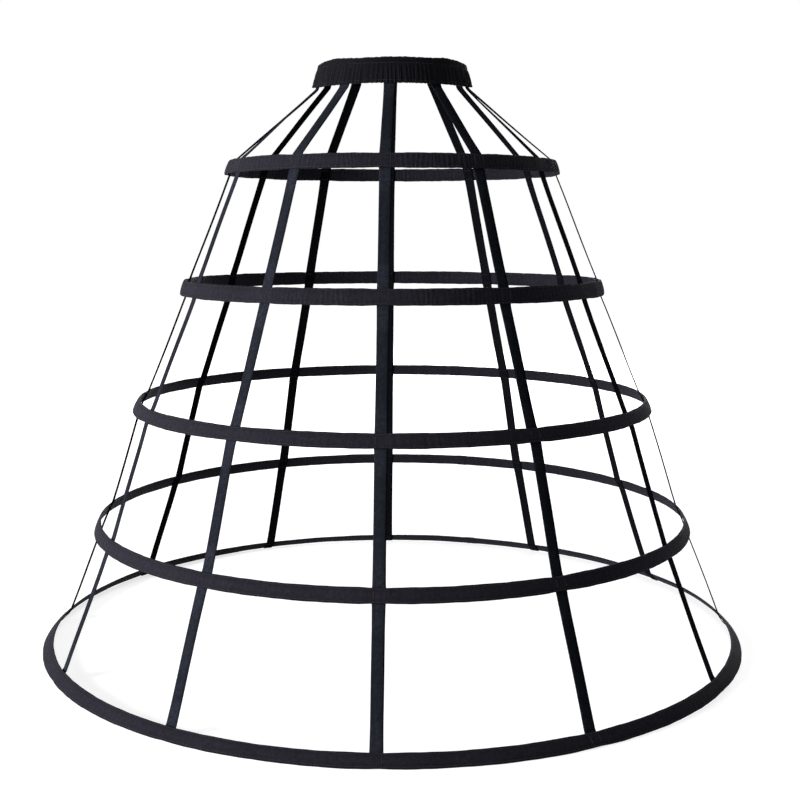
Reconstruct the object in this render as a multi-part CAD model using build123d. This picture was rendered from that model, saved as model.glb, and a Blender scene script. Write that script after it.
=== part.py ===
from build123d import *
import os
from dataclasses import dataclass
from math import sin, cos, sqrt, radians, degrees, pi

os.makedirs("parts", exist_ok=True)

# Crinoline cage: five hoops hung from an elastic waistband by twelve ribbon tapes.
# Millimetres and degrees. The origin is on the floor under the middle of the hem,
# +Z is up, the front looks along -Y and +X is the viewer's right.

# Hoops from the top down: radius and height of the middle of the band,
# the band's lean from upright, and the width of its casing
hoop_1_radius = 234.0
hoop_1_height = 676.0
hoop_1_lean = 20.0
hoop_1_width = 20.0
hoop_2_radius = 300.0
hoop_2_height = 509.0
hoop_2_lean = 15.0
hoop_2_width = 21.0
hoop_3_radius = 368.5
hoop_3_height = 344.0
hoop_3_lean = 27.0
hoop_3_width = 19.0
hoop_4_radius = 427.0
hoop_4_height = 174.0
hoop_4_lean = 27.0
hoop_4_width = 19.0
hem_radius = 500.0
hem_lean = 48.0
hem_width = 19.0
hem_foot = 0.4          # how much of the hem's lowest edge is worn flat on the floor

# Casings and the flat bones inside them
casing_wall = 0.7
casing_fold = 0.9       # bevel of the casing's outer edges, where the cloth is folded
bone_thickness = 1.2
bone_width = 12.0
bone_play = 0.4         # clearance between a bone and the wall of its casing
bone_end_gap = 1.0      # between the two ends of a bone, inside its joiner
joiner_length = 20.0
joiner_wall = 0.2
joiner_fit = 0.1        # clearance between a bone and its joiner
joiner_angle = 165.0    # from the front towards the viewer's right, clear of the tapes
hoop_steps = 72         # straight steps round a hoop, few enough for a light model

# Ribbon tapes
tape_width = 16.0
tape_thickness = 0.6
tape_gap = 0.15         # between a tape's edges and the casing that it is sewn to
tape_waist_gap = 0.4    # between a tape's edges and the gathered sleeve
tape_turn = 1.5         # how far past a casing's edge a tape turns
tape_hem_end = 2.0      # how far a tape ends short of the hem's lower edge
tape_waist_end = 9.0    # how far a tape ends short of the waistband's upper edge

# Waistband: an oval elastic in a gathered sleeve that flares downwards
waist_half_width = 104.0
waist_half_depth = 90.0
waist_flare = 9.5
waist_top = 819.5       # height of the front of the upper edge
waist_height = 34.5
waist_back_rise = 24.0  # the back is higher than the front
waist_back_reach = 2.5  # the larger, the nearer to the back the rise begins
sleeve_wall = 0.8
sleeve_thickness = 4.0
sleeve_fold = 1.6       # how far in the sleeve's lower edge is lowest
heading_height = 7.0    # smooth heading above the gathers
gather_count = 60
gather_depth = 1.3      # how far a gather stands out at the lower edge
gather_rise = 2.6       # height over which a gather swells and closes again
elastic_width = 22.0
elastic_thickness = 1.4
elastic_drop = 8.0      # below the upper edge of the sleeve
elastic_play = 0.3      # clearance between the elastic and its sleeve
elastic_steps = 60      # straight steps round the elastic

# Where the tapes run, from the front towards one side, on the hoops and on the waist
side_angles = [30.0, 60.0, 90.0, 120.0, 150.5]
side_waist_angles = [35.0, 76.0, 97.0, 118.0, 149.0]
back_angle = 183.0
back_waist_angle = 182.0

flat_limit = 1e-7       # how far four corners may be out of a plane and still make one face


@dataclass
class Band:
    """One hoop: its name and the middle line, lean and width of its casing."""
    name: str
    radius: float
    height: float
    lean: float
    width: float

    def place(self, across, down):
        """Radius and height of a point, off the middle line outwards and downwards."""
        a = radians(self.lean)
        r = self.radius + across * cos(a) + down * sin(a)
        z = self.height + across * sin(a) - down * cos(a)
        return r, z


bone_room = bone_thickness + 2 * bone_play
casing_thickness = bone_room + 2 * casing_wall
hem_half_height = (hem_width * cos(radians(hem_lean)) + casing_thickness * sin(radians(hem_lean))) / 2
hem = Band("hoop_5", hem_radius, hem_half_height - hem_foot, hem_lean, hem_width)
bands = [
    Band("hoop_1", hoop_1_radius, hoop_1_height, hoop_1_lean, hoop_1_width),
    Band("hoop_2", hoop_2_radius, hoop_2_height, hoop_2_lean, hoop_2_width),
    Band("hoop_3", hoop_3_radius, hoop_3_height, hoop_3_lean, hoop_3_width),
    Band("hoop_4", hoop_4_radius, hoop_4_height, hoop_4_lean, hoop_4_width),
    hem,
]


def front_angle(angle):
    """Turn an angle from the front towards the viewer's right into one from +X."""
    return angle - 90.0


def panel(a, b, c, d):
    """One face through four corners where they lie in a plane, and two where they don't."""
    across = (b - a).cross(d - a)
    if across.length and abs((c - a).dot(across.normalized())) < flat_limit:
        return [Face(Wire.make_polygon([a, b, c, d], close=True))]
    return [Face(Wire.make_polygon([a, b, c], close=True)),
            Face(Wire.make_polygon([a, c, d], close=True))]


def ruled_solid(sections, closed):
    """A solid through like sections, which are lists of corners, in a closed round or in a run
    that ends in two flat faces."""
    faces = []
    size = len(sections[0])
    pairs = list(zip(sections, sections[1:]))
    if closed:
        pairs.append((sections[-1], sections[0]))
    else:
        faces.append(Face(Wire.make_polygon(sections[0], close=True)))
        faces.append(Face(Wire.make_polygon(sections[-1], close=True)))
    for this, after in pairs:
        for j in range(size):
            k = (j + 1) % size
            faces += panel(this[j], after[j], after[k], this[k])
    return Solid(Shell(faces))


def hoop_corners():
    """The angles where the straight steps of every hoop meet; the front lies mid-step."""
    step = 360.0 / hoop_steps
    return [step * (i + 0.5) for i in range(hoop_steps)]


def corners_between(first, last):
    """The angles from first to last, with each corner of the hoops that lies between."""
    step = 360.0 / hoop_steps
    turns = hoop_corners() + [angle + 360.0 for angle in hoop_corners()]
    clear = 0.01 * step
    return [first] + [a for a in turns if first + clear < a < last - clear] + [last]


def hoop_run(band, outline, angles, closed=False):
    """A flat outline, as offsets across and down a band, carried round its middle line."""
    step = 360.0 / hoop_steps
    sections = []
    for angle in angles:
        turn = radians(front_angle(angle))
        aside = angle - step * round(angle / step)
        chord = cos(radians(step / 2)) / cos(radians(aside))
        corners = [band.place(across, down) for across, down in outline]
        sections.append([Vector(r * chord * cos(turn), r * chord * sin(turn), z)
                         for r, z in corners])
    return ruled_solid(sections, closed)


def box_outline(thickness, width):
    """A rectangle's corners, centred on a band's middle line."""
    x, y = thickness / 2, width / 2
    return [(-x, -y), (x, -y), (x, y), (-x, y)]


def casing(band):
    """A flat sleeve of cloth with its outer edges folded over, hollow where the bone runs.
    The hem's is flat underneath."""
    x, y = casing_thickness / 2, band.width / 2
    outline = [(-x, -y), (x - casing_fold, -y), (x, casing_fold - y),
               (x, y - casing_fold), (x - casing_fold, y), (-x, y)]
    hollow = box_outline(bone_room, band.width - 2 * casing_wall)
    angles = hoop_corners()
    sleeve = hoop_run(band, outline, angles, True) - hoop_run(band, hollow, angles, True)
    if band is hem:
        reach = hem_radius + hem_width
        under = Cylinder(reach, hem_foot, align=(Align.CENTER, Align.CENTER, Align.MAX))
        sleeve = sleeve - under
    return sleeve


def bone(band):
    """A flat bone bent into a ring, with its ends apart inside the joiner."""
    gap = degrees(bone_end_gap / band.radius)
    angles = corners_between(joiner_angle + gap / 2, joiner_angle + 360 - gap / 2)
    return hoop_run(band, box_outline(bone_thickness, bone_width), angles)


def joiner(band):
    """A flattened metal tube over the two ends of a bone."""
    arc = degrees(joiner_length / band.radius)
    angles = corners_between(joiner_angle - arc / 2, joiner_angle + arc / 2)
    room = 2 * joiner_fit
    skin = room + 2 * joiner_wall
    outside = hoop_run(band, box_outline(bone_thickness + skin, bone_width + skin), angles)
    inside = hoop_run(band, box_outline(bone_thickness + room, bone_width + room), angles)
    return outside - inside


def waist_place(angle, inwards, down):
    """A point of the waistband, at an angle round the oval, in from its outer face and below
    its upper edge, with the direction round the band there."""
    t = radians(front_angle(angle))
    spread = waist_flare * down / waist_height
    half_width = waist_half_width + spread
    half_depth = waist_half_depth + spread
    along = Vector(-half_width * sin(t), half_depth * cos(t), 0).normalized()
    out = Vector(along.Y, -along.X, 0)
    rise = waist_back_rise * ((1 - cos(radians(angle))) / 2) ** waist_back_reach
    middle = Vector(half_width * cos(t), half_depth * sin(t), waist_top + rise - down)
    return middle - out * inwards, along


def waist_strip(top, bottom, near, far, steps):
    """A plain strip round the waist between two depths in from the sleeve's outer face."""
    sections = []
    for i in range(steps):
        angle = 360.0 * i / steps
        corners = [(near, top), (near, bottom), (far, bottom), (far, top)]
        sections.append([waist_place(angle, deep, down)[0] for deep, down in corners])
    return ruled_solid(sections, True)


def waist_sleeve():
    """The gathered sleeve: a smooth heading, then gathers that deepen to the lower edge."""
    sections = []
    steps = 2 * gather_count
    for i in range(steps):
        angle = 360.0 * i / steps
        swell = gather_depth if i % 2 else 0.0
        corners = [
            (0.0, 0.0),
            (0.0, heading_height),
            (-swell / 2, heading_height + gather_rise),
            (-swell, waist_height - gather_rise),
            (sleeve_fold, waist_height + swell / 2),
            (sleeve_thickness, waist_height - sleeve_wall),
            (sleeve_thickness, 0.0),
        ]
        sections.append([waist_place(angle, deep, down)[0] for deep, down in corners])
    middle = sleeve_thickness / 2
    room = elastic_thickness / 2 + elastic_play
    hollow = waist_strip(elastic_drop - elastic_play, elastic_drop + elastic_width + elastic_play,
                         middle - room, middle + room, elastic_steps)
    return ruled_solid(sections, True) - hollow


def waist_elastic():
    """The elastic inside the gathered sleeve."""
    middle = sleeve_thickness / 2
    half = elastic_thickness / 2
    return waist_strip(elastic_drop, elastic_drop + elastic_width, middle - half, middle + half,
                       elastic_steps)


def tape_stations(angle, waist_angle):
    """The turning points of a tape from the waist to the hem, with its width's direction."""
    half = tape_width / 2
    inwards = sleeve_thickness + tape_waist_gap + tape_thickness / 2
    bend = half ** 2 * waist_half_width / (2 * waist_half_depth ** 2)
    stations = []
    for down in (tape_waist_end, waist_height + tape_turn + gather_depth):
        stations.append(waist_place(waist_angle, inwards + bend, down))
    turn = radians(front_angle(angle))
    out = Vector(cos(turn), sin(turn), 0)
    along = Vector(-sin(turn), cos(turn), 0)
    for band in bands:
        inscribed = band.radius * cos(pi / hoop_steps)
        sag = band.radius - sqrt(inscribed ** 2 - half ** 2)
        across = -(casing_thickness / 2 + tape_gap + sag + tape_thickness / 2)
        upper = -(band.width / 2 + tape_turn)
        lower = band.width / 2 + tape_turn
        if band is hem:
            lower = band.width / 2 - tape_hem_end
        for down in (upper, lower):
            r, z = band.place(across, down)
            stations.append((out * r + Vector(0, 0, z), along))
    return stations


def tape(angle, waist_angle):
    """One ribbon: its section at each turning point lies halfway between the two runs."""
    stations = tape_stations(angle, waist_angle)
    wires = []
    for i, (point, along) in enumerate(stations):
        before = stations[max(i - 1, 0)][0]
        after = stations[min(i + 1, len(stations) - 1)][0]
        faces = [along.cross(d).normalized() for d in (point - before, after - point) if d.length]
        across = sum(faces, Vector(0, 0, 0)).normalized()
        reach = across * (tape_thickness / 2 / across.dot(faces[0]))
        side = along * (tape_width / 2)
        corners = [point - side - reach, point + side - reach,
                   point + side + reach, point - side + reach]
        wires.append(Wire.make_polygon(corners, close=True))
    return Solid.make_loft(wires, ruled=True)


def save(name, shape):
    """Write one piece under its own name."""
    shape.label = name
    export_step(shape, f"parts/{name}.step")


save("waistband_casing", waist_sleeve())
save("waist_elastic", waist_elastic())
for band in bands:
    save(f"{band.name}_casing", casing(band))
    save(f"{band.name}_bone", bone(band))
    save(f"{band.name}_bone_joiner", joiner(band))
save("tape_front", tape(0.0, 0.0))
save("tape_back", tape(back_angle, back_waist_angle))
for number, (angle, waist_angle) in enumerate(zip(side_angles, side_waist_angles), 1):
    save(f"tape_right_{number}", tape(angle, waist_angle))
    save(f"tape_left_{number}", tape(-angle, -waist_angle))
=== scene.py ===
import sys

import logging
from dataclasses import dataclass, field
from enum import Enum
from math import cos, pi, radians, sin, sqrt, tau
from typing import Iterable, Sequence

import bpy
import numpy as np
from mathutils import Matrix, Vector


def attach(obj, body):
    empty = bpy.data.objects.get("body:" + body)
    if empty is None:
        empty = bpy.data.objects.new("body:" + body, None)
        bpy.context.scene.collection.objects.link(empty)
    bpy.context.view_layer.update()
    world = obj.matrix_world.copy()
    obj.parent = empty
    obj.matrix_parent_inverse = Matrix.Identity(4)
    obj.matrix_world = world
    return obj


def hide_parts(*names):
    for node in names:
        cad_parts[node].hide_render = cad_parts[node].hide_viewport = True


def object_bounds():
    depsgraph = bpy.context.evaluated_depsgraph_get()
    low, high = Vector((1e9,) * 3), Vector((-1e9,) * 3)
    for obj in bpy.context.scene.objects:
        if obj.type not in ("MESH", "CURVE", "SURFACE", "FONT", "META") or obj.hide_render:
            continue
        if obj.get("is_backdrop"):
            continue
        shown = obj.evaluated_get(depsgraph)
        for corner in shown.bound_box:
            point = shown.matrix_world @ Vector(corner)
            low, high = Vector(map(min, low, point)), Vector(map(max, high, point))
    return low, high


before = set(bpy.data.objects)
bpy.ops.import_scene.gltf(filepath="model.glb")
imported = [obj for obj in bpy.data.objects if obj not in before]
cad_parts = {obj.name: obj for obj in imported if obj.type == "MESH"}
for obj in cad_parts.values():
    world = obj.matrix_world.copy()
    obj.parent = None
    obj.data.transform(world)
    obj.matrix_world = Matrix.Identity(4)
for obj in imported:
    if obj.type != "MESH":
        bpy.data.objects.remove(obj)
cad_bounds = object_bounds()

log = logging.getLogger("crinoline")

MM = 0.001
IMAGE_SIDE = 800
WHITE = (1.0, 1.0, 1.0, 1.0)
UP = np.array([0.0, 0.0, 1.0])

Colour = tuple[float, float, float, float]
Row = tuple[np.ndarray, np.ndarray, np.ndarray]


# Numbers and directions


def smooth(value: np.ndarray, low: float, high: float) -> np.ndarray:
    """Ease from 0 at low to 1 at high: three t squared less two t cubed, t the share so far."""
    t = np.clip((np.asarray(value, float) - low) / (high - low), 0.0, 1.0)
    return t * t * (3.0 - 2.0 * t)


def bell(value: np.ndarray, reach: float) -> np.ndarray:
    """A bell-shaped bump: e to the power of less the square of the value over the reach."""
    return np.exp(-(value / reach) ** 2)


def turn_from(angle: np.ndarray, degrees: float) -> np.ndarray:
    """The shorter turn, in radians, to each angle from a place given in degrees."""
    return (angle - radians(degrees) + pi) % tau - pi


@dataclass(frozen=True)
class Wander:
    """A slow uneven wave that closes after one turn.

    Attributes:
        rounds: Whole waves round the circle, one for each sine.
        sizes: Height of each sine.
    """

    rounds: Sequence[int]
    sizes: Sequence[float]

    def at(self, angle: np.ndarray, seed: int) -> np.ndarray:
        """Height of the wave: the sum of the sines, with starts that the seed picks.

        Args:
            angle: Angles in radians.
            seed: Picks the starts of the sines.

        Returns:
            The height at each angle.
        """
        starts = np.random.default_rng(seed).uniform(0.0, tau, len(self.rounds))
        return sum(size * np.sin(count * angle + start)
                   for count, size, start in zip(self.rounds, self.sizes, starts))


def crumple(angle: np.ndarray, across: np.ndarray, rounds: tuple[int, int], lean: float,
            seed: int, waves: int = 12) -> np.ndarray:
    """Short uneven creases that close after one turn.

    In words: the sum of many sines over the root of their number, each with its own whole
    number of waves round the circle, its own lean across the band and its own start.

    Args:
        angle: Angles in radians.
        across: Places across the band, as shares of its width.
        rounds: Fewest and most waves round the circle.
        lean: Largest turn of a wave's phase across the band, in radians.
        seed: Picks the waves.
        waves: How many sines there are.

    Returns:
        Heights of about -1 to 1.
    """
    pick = np.random.default_rng(seed)
    counts = pick.integers(rounds[0], rounds[1], waves)
    leans = pick.uniform(-lean, lean, waves)
    starts = pick.uniform(0.0, tau, waves)
    total = sum(np.sin(count * angle + slope * across + start)
                for count, slope, start in zip(counts, leans, starts))
    return total / sqrt(waves)


def unit(vectors: np.ndarray) -> np.ndarray:
    """Scale vectors in the last axis to a length of one."""
    return vectors / np.maximum(np.linalg.norm(vectors, axis=-1, keepdims=True), 1e-12)


def so_far(steps: np.ndarray) -> np.ndarray:
    """Running total of steps, from nothing before the first."""
    return np.concatenate([[0.0], np.cumsum(steps)])


def ring_grid(columns: int, down: np.ndarray) -> tuple[np.ndarray, np.ndarray]:
    """Angles and distances down, each rows by columns, of a grid that goes once round."""
    angle = np.arange(columns) * tau / columns
    return tuple(np.broadcast_arrays(angle[None], down[:, None]))


def flat_grid(run: np.ndarray, rows: np.ndarray) -> np.ndarray:
    """Flat cloth coordinates: the run along the columns, and the rows across it."""
    return np.stack(np.broadcast_arrays(run[None], rows[:, None]), -1)


# Meshes


@dataclass
class Sheet:
    """A surface on a grid whose last row joins its first, with flat cloth coordinates.

    Attributes:
        points: Rows by columns by 3, in metres.
        flat: Flat coordinates in metres, one row more, and one column more on a ring.
        ring: Whether the last column joins the first.
        hollow: Whether this is the inside of a wall, so that its faces point inwards.
        marks: Named values from 0 to 1 on each point.
    """

    points: np.ndarray
    flat: np.ndarray
    ring: bool = True
    hollow: bool = False
    marks: dict[str, np.ndarray] = field(default_factory=dict)

    def quads(self) -> np.ndarray:
        """Corner numbers of each face, turned so that the shape's volume has the right sign.

        Returns:
            An array of faces by 4.
        """
        rows, columns = self.points.shape[:2]
        i, j = self._cells()
        i2, j2 = (i + 1) % rows, (j + 1) % columns
        corners = [i * columns + j, i2 * columns + j, i2 * columns + j2, i * columns + j2]
        faces = np.stack(corners, -1).reshape(-1, 4)
        return faces[:, ::-1] if (self._volume(faces) < 0.0) != self.hollow else faces

    def flat_corners(self, faces: np.ndarray) -> np.ndarray:
        """Flat coordinates of every face's corners, in the order of the faces.

        Args:
            faces: What quads gave. An unturned first face starts at point 0.

        Returns:
            An array of faces by 4 by 2.
        """
        i, j = self._cells()
        corners = np.stack([self.flat[i, j], self.flat[i + 1, j],
                            self.flat[i + 1, j + 1], self.flat[i, j + 1]], 2).reshape(-1, 4, 2)
        return corners if faces[0, 0] == 0 else corners[:, ::-1]

    def _cells(self) -> tuple[np.ndarray, np.ndarray]:
        """Row and column numbers of each cell of the grid."""
        rows, columns = self.points.shape[:2]
        return np.meshgrid(np.arange(rows), np.arange(columns if self.ring else columns - 1),
                           indexing="ij")

    def _volume(self, faces: np.ndarray) -> float:
        """Signed volume: the sum of the triple products of each face's corners, over six.

        Args:
            faces: Corner numbers, faces by 4.

        Returns:
            The volume, above 0 where the faces point outwards.
        """
        corners = self.points.reshape(-1, 3)[faces] - self.points.reshape(-1, 3).mean(0)
        a, b, c, d = (corners[:, k] for k in range(4))
        halves = np.cross(b, c) + np.cross(c, d)
        return float(np.einsum("ij,ij->i", a, halves).sum() / 6.0)


def add_object(name: str, data: bpy.types.ID) -> bpy.types.Object:
    """Put data into the scene as an object at the origin.

    Args:
        name: Name of the object.
        data: Its mesh, light or camera.

    Returns:
        The new object.
    """
    made = bpy.data.objects.new(name, data)
    bpy.context.collection.objects.link(made)
    return made


def add_mesh(mesh: bpy.types.Mesh, finish: bpy.types.Material) -> bpy.types.Object:
    """Smooth a mesh, give it its material and put it into the scene under its own name.

    Args:
        mesh: The mesh.
        finish: Its material.

    Returns:
        The new object.
    """
    mesh.shade_smooth()
    mesh.materials.append(finish)
    return add_object(mesh.name, mesh)


def build_piece(name: str, sheets: Iterable[Sheet],
                finish: bpy.types.Material) -> bpy.types.Object:
    """Write sheets into one mesh object at the origin.

    Args:
        name: Name of the object and its mesh.
        sheets: The surfaces that make up the piece.
        finish: Material of the whole piece.

    Returns:
        The new object.
    """
    sheets = list(sheets)
    points, faces, flats, start = [], [], [], 0
    marks: dict[str, list[np.ndarray]] = {key: [] for sheet in sheets for key in sheet.marks}
    for sheet in sheets:
        quads = sheet.quads()
        flats.append(sheet.flat_corners(quads).reshape(-1, 2))
        faces.append(quads + start)
        points.append(sheet.points.reshape(-1, 3))
        for key, values in marks.items():
            mark = np.broadcast_to(sheet.marks.get(key, 0.0), sheet.points.shape[:2])
            values.append(mark.reshape(-1))
        start += len(points[-1])
    mesh = bpy.data.meshes.new(name)
    mesh.from_pydata(np.concatenate(points), [], np.concatenate(faces).tolist())
    layer = mesh.uv_layers.new(name="cloth")
    layer.data.foreach_set("uv", np.concatenate(flats).astype(np.float32).ravel())
    for key, values in marks.items():
        mark = mesh.attributes.new(key, "FLOAT", "POINT")
        mark.data.foreach_set("value", np.concatenate(values).astype(np.float32))
    mesh.validate()
    return add_mesh(mesh, finish)


def close_ends(points: np.ndarray) -> np.ndarray:
    """Close a run of sections by drawing a copy of the first and the last in to their middles.

    Args:
        points: Points round a section by sections by 3.

    Returns:
        The same array with one more section at each end.
    """
    first, last = (np.broadcast_to(end.mean(0, keepdims=True), end.shape)
                   for end in (points[:, :1], points[:, -1:]))
    return np.concatenate([first, points, last], 1)


@dataclass(frozen=True)
class Stitch:
    """One stitch of sewing thread, a short bead that is drawn into the cloth at both ends.

    Attributes:
        length: From hole to hole, in metres.
        pitch: From one stitch to the next, in metres.
        thickness: Thickness of the thread, in metres.
        ring_places: Places of the bead's rings, as shares of its length.
        ring_sizes: Their sizes, as shares of the thickness.
        ring_lifts: How far they stand off the cloth, as shares of the thickness.
        tip_depth: How deep the ends lie in the cloth, as a share of the thickness.
    """

    length: float = 2.5 * MM
    pitch: float = 3.1 * MM
    thickness: float = 0.55 * MM
    ring_places: Sequence[float] = (-0.33, 0.0, 0.33)
    ring_sizes: Sequence[float] = (0.85, 1.0, 0.85)
    ring_lifts: Sequence[float] = (0.10, 0.32, 0.10)
    tip_depth: float = 0.2

    def beads(self, places: np.ndarray, along: np.ndarray,
              out: np.ndarray) -> tuple[np.ndarray, np.ndarray]:
        """Points and faces of a bead at every place.

        In words: a bead is three rings of three points across the thread, joined side by
        side, and a point at each end.

        Args:
            places: Middles of the stitches on the cloth, count by 3.
            along: Directions of the stitches.
            out: Directions away from the cloth.

        Returns:
            The points, and the corner numbers of the triangles.
        """
        turns = np.array([pi / 2, pi / 2 + tau / 3, pi / 2 - tau / 3])
        swell = np.array(self.ring_sizes)[:, None] * self.thickness / 2
        lift = np.array(self.ring_lifts)[:, None] * self.thickness
        side_way, out_way = np.cos(turns)[None] * swell, np.sin(turns)[None] * swell + lift
        along_way = np.broadcast_to(np.array(self.ring_places)[:, None] * self.length,
                                    side_way.shape)
        rings = np.stack([along_way, side_way, out_way], -1).reshape(-1, 3)
        tips = [[end * self.length, 0.0, -self.tip_depth * self.thickness] for end in (-0.5, 0.5)]
        shape = np.concatenate([rings, tips])
        axes = np.stack([along, np.cross(out, along), out], 1)
        points = places[:, None] + np.einsum("kc,ncx->nkx", shape, axes)
        first_tip, last_tip = len(rings), len(rings) + 1
        faces = []
        for k in range(3):
            after = (k + 1) % 3
            for ring in (0, 3):
                faces += [(ring + k, ring + 3 + k, ring + 3 + after),
                          (ring + k, ring + 3 + after, ring + after)]
            faces += [(first_tip, k, after), (last_tip, 6 + after, 6 + k)]
        starts = np.arange(len(places)) * len(shape)
        numbers = np.array(faces)[None] + starts[:, None, None]
        return points.reshape(-1, 3), numbers.reshape(-1, 3)

    def build(self, name: str, rows: Sequence[Row],
              finish: bpy.types.Material) -> bpy.types.Object:
        """Make one object of many rows of stitches.

        Args:
            name: Name of the object.
            rows: For each row, its places, directions and outward directions.
            finish: Material of the thread.

        Returns:
            The new object.
        """
        places, along, out = (np.concatenate(part) for part in zip(*rows))
        along = unit(along)
        out = unit(out - along * np.sum(out * along, -1, keepdims=True))
        points, faces = self.beads(places, along, out)
        mesh = bpy.data.meshes.new(name)
        mesh.from_pydata(points, [], faces.tolist())
        return add_mesh(mesh, finish)


# Node groups and finishes


class Graph:
    """Adds nodes and links to one node tree, from left to right."""

    def __init__(self, tree: bpy.types.NodeTree) -> None:
        """Start on the tree that gets the nodes, at its left."""
        self.tree = tree
        self.column = 0

    def feed(self, node: bpy.types.Node, inputs: dict[str | int, object]) -> None:
        """Link or set inputs of a node.

        Args:
            node: The node.
            inputs: Sockets to link or plain values to set, by input name or number.
        """
        for key, value in inputs.items():
            if isinstance(value, bpy.types.NodeSocket):
                self.tree.links.new(value, node.inputs[key])
            else:
                node.inputs[key].default_value = value

    def node(self, kind: str, inputs: dict[str | int, object] | None = None,
             **settings: object) -> bpy.types.Node:
        """Add a node, set its properties and feed its inputs.

        Args:
            kind: Blender's name of the node type.
            inputs: Sockets or plain values, by input name or number.
            **settings: Properties of the node.

        Returns:
            The node.
        """
        made = self.tree.nodes.new(kind)
        made.location = (200 * self.column, 0)
        self.column += 1
        for key, value in settings.items():
            setattr(made, key, value)
        self.feed(made, inputs or {})
        return made

    def sum(self, operation: str, *values: object, clamp: bool = False) -> bpy.types.NodeSocket:
        """One step of arithmetic on sockets or numbers, kept from 0 to 1 if clamp is set."""
        return self.node("ShaderNodeMath", dict(enumerate(values)), operation=operation,
                         use_clamp=clamp).outputs[0]

    def blend(self, amount: object, low: object, high: object) -> bpy.types.NodeSocket:
        """Mix two colours: the low one where the amount is 0, the high one where it is 1."""
        return self.node("ShaderNodeMix", {0: amount, 6: low, 7: high},
                         data_type="RGBA").outputs[2]

    def noise(self, vector: object, scale: object, detail: float,
              roughness: float = 0.5) -> bpy.types.NodeSocket:
        """Soft noise at a vector, with its scale, detail and roughness."""
        return self.node("ShaderNodeTexNoise", {"Vector": vector, "Scale": scale, "Detail": detail,
                                                "Roughness": roughness}).outputs[0]

    def stretch(self, value: object, low: float, high: float) -> bpy.types.NodeSocket:
        """The share from 0 to 1 that a value has come from low to high."""
        return self.node("ShaderNodeMapRange", {0: value, 1: low, 2: high}).outputs[0]

    def wave(self, value: object) -> bpy.types.NodeSocket:
        """The absolute sine of a value, in radians."""
        return self.sum("ABSOLUTE", self.sum("SINE", value))

    def bump(self, height: object, distance: float, strength: float) -> bpy.types.NodeSocket:
        """A normal that is bent by a height, with the height's size and the strength."""
        return self.node("ShaderNodeBump", {"Height": height, "Distance": distance,
                                            "Strength": strength}).outputs[0]

    def place(self) -> bpy.types.NodeSocket:
        """Object coordinates."""
        return self.node("ShaderNodeTexCoord").outputs["Object"]

    def mark(self, name: str) -> bpy.types.NodeSocket:
        """A named value of the mesh's points."""
        return self.node("ShaderNodeAttribute", attribute_name=name).outputs["Fac"]

    def group(self, tree: bpy.types.NodeTree, inputs: dict[str, object]) -> bpy.types.Node:
        """Place a node group and feed its inputs."""
        return self.node("ShaderNodeGroup", inputs, node_tree=tree)


FLOAT, VECTOR = "NodeSocketFloat", "NodeSocketVector"


def new_group(name: str, inputs: dict[str, float | None],
              outputs: Sequence[str]) -> tuple[Graph, bpy.types.Node, bpy.types.Node]:
    """Start a shader node group with named sockets.

    Args:
        name: Name of the group.
        inputs: Default by input name, or None for a vector.
        outputs: Names of the outputs, which are numbers.

    Returns:
        A graph on the group, its input node and its output node.
    """
    tree = bpy.data.node_groups.new(name, "ShaderNodeTree")
    for key, default in inputs.items():
        kind = VECTOR if default is None else FLOAT
        socket = tree.interface.new_socket(name=key, in_out="INPUT", socket_type=kind)
        if default is not None:
            socket.default_value = default
    for key in outputs:
        tree.interface.new_socket(name=key, in_out="OUTPUT", socket_type=FLOAT)
    graph = Graph(tree)
    return graph, graph.node("NodeGroupInput"), graph.node("NodeGroupOutput")


def weave_group() -> bpy.types.NodeTree:
    """Plain weave: threads that cross over and under.

    In words: along each way the cloth is cut into threads of the given pitch, each thread is
    half a sine high across its width, and the one on top changes from cell to cell like the
    squares of a chessboard.

    Returns:
        The group, which gives a height from 0 to 1.
    """
    g, start, end = new_group(
        "plain weave", {"Vector": None, "Warp Pitch": 0.5 * MM, "Weft Pitch": 0.5 * MM},
        ["Height"])
    parts = g.node("ShaderNodeSeparateXYZ", {0: start.outputs["Vector"]})
    across = g.sum("DIVIDE", parts.outputs[0], start.outputs["Weft Pitch"])
    down = g.sum("DIVIDE", parts.outputs[1], start.outputs["Warp Pitch"])
    weft, warp = (g.wave(g.sum("MULTIPLY", way, pi)) for way in (across, down))
    square = g.sum("ADD", g.sum("FLOOR", across), g.sum("FLOOR", down))
    warp_over, weft_over = (g.sum("MULTIPLY", over, g.sum("MULTIPLY_ADD", under, 0.5, 0.5))
                            for over, under in ((warp, weft), (weft, warp)))
    step = g.sum("SUBTRACT", warp_over, weft_over)
    height = g.sum("MULTIPLY_ADD", step, g.sum("FLOORED_MODULO", square, 2.0), weft_over)
    g.feed(end, {"Height": height})
    return g.tree


def dye_group() -> bpy.types.NodeTree:
    """Uneven dye: broad patches with a finer mottle in them, and a few specks of lint.

    In words: two soft noises, one at the patch size and one twelve times finer, are mixed in
    unequal shares, and a much finer noise leaves a speck where it is highest.

    Returns:
        The group, which gives a tone and a lint mask, both from 0 to 1.
    """
    g, start, end = new_group(
        "uneven dye", {"Vector": None, "Patch Size": 0.06, "Mottle": 0.35, "Lint": 0.3},
        ["Tone", "Lint Mask"])
    vector = start.outputs["Vector"]
    often = g.sum("DIVIDE", 1.0, start.outputs["Patch Size"])
    broad = g.noise(vector, often, 2.0)
    fine = g.noise(vector, g.sum("MULTIPLY", often, 12.0), 3.0, 0.6)
    tone = g.sum("MULTIPLY_ADD", g.sum("SUBTRACT", fine, broad), start.outputs["Mottle"], broad)
    speck = g.stretch(g.noise(vector, 900.0, 1.0), 0.74, 0.80)
    g.feed(end, {"Tone": g.stretch(tone, 0.32, 0.68),
                 "Lint Mask": g.sum("MULTIPLY", speck, start.outputs["Lint"])})
    return g.tree


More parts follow.
